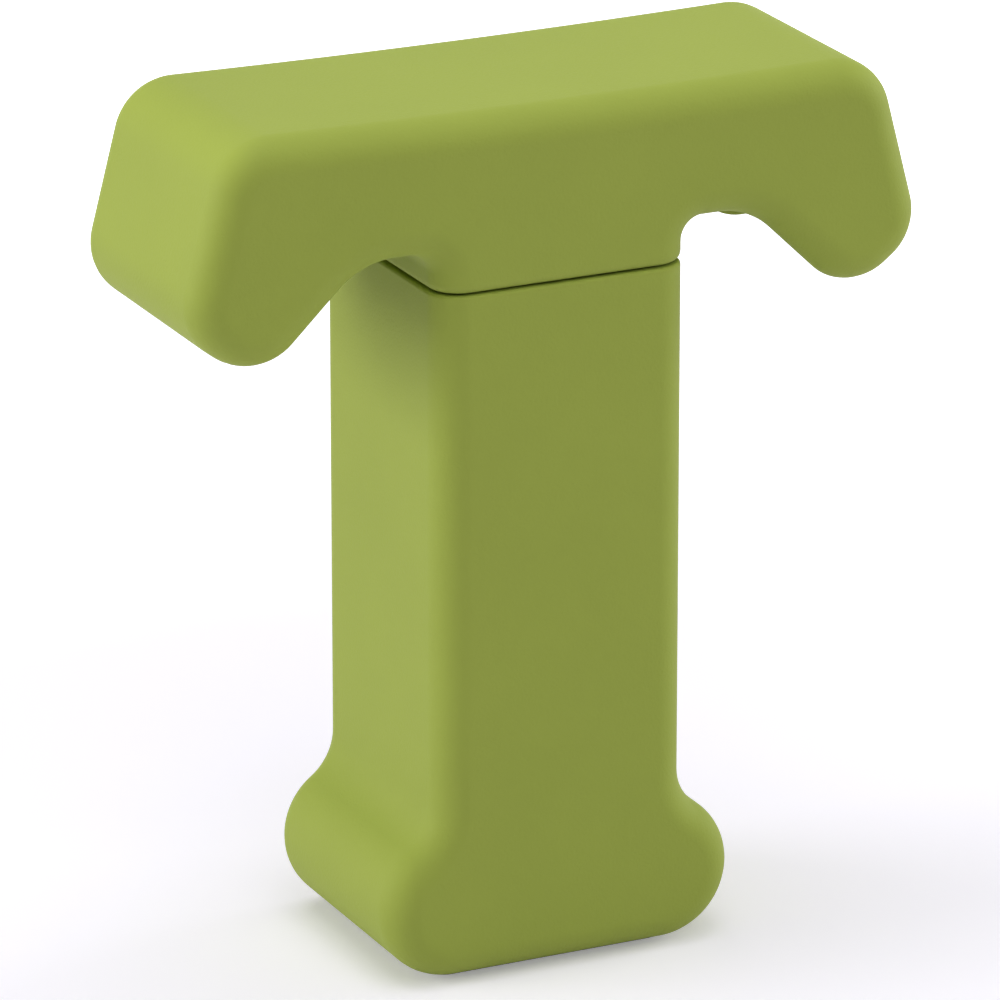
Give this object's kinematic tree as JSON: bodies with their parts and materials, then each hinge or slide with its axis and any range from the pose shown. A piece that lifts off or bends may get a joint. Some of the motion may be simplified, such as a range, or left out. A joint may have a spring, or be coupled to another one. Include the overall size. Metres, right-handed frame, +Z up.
{
  "type": "corkscrew with stand",
  "caption": "T-handled corkscrew that stands in its own footed column; the crossbar lifts straight off with the worm.",
  "frame": {"origin": "centre of the underside, on the surface that the foot pad stands on", "axes": "+Z up along the column and the worm, +X along the crossbar, -Y towards the front face"},
  "size_m": [0.104, 0.038, 0.1194],
  "materials": {
    "lime_shell": "soft-touch matt",
    "black_moulding": "fine spark-eroded texture",
    "grey_iron": "phosphated",
    "screw_steel": "zinc plated",
    "worm_steel": "polished",
    "black_rubber": "matt",
    "brass": "turned"
  },
  "bodies": {
    "stand": {"column_skin": "lime_shell", "column_core": "black_moulding", "ballast_block": "grey_iron", "base_plate": "black_moulding", "base_screws": "screw_steel", "foot_pad": "black_rubber"},
    "handle": {"handle_shell": "lime_shell", "worm_carrier": "black_moulding", "worm_hub": "screw_steel", "hub_pin": "screw_steel", "worm": "worm_steel", "neck_plate": "black_moulding", "neck_inserts": "brass", "neck_screws": "screw_steel", "spigot_ring": "black_rubber"}
  },
  "joints": [
    {"name": "handle_lift", "type": "slide", "parent": "stand", "child": "handle", "axis": [0, 0, 1], "range_m": [0, 0.09]}
  ]
}
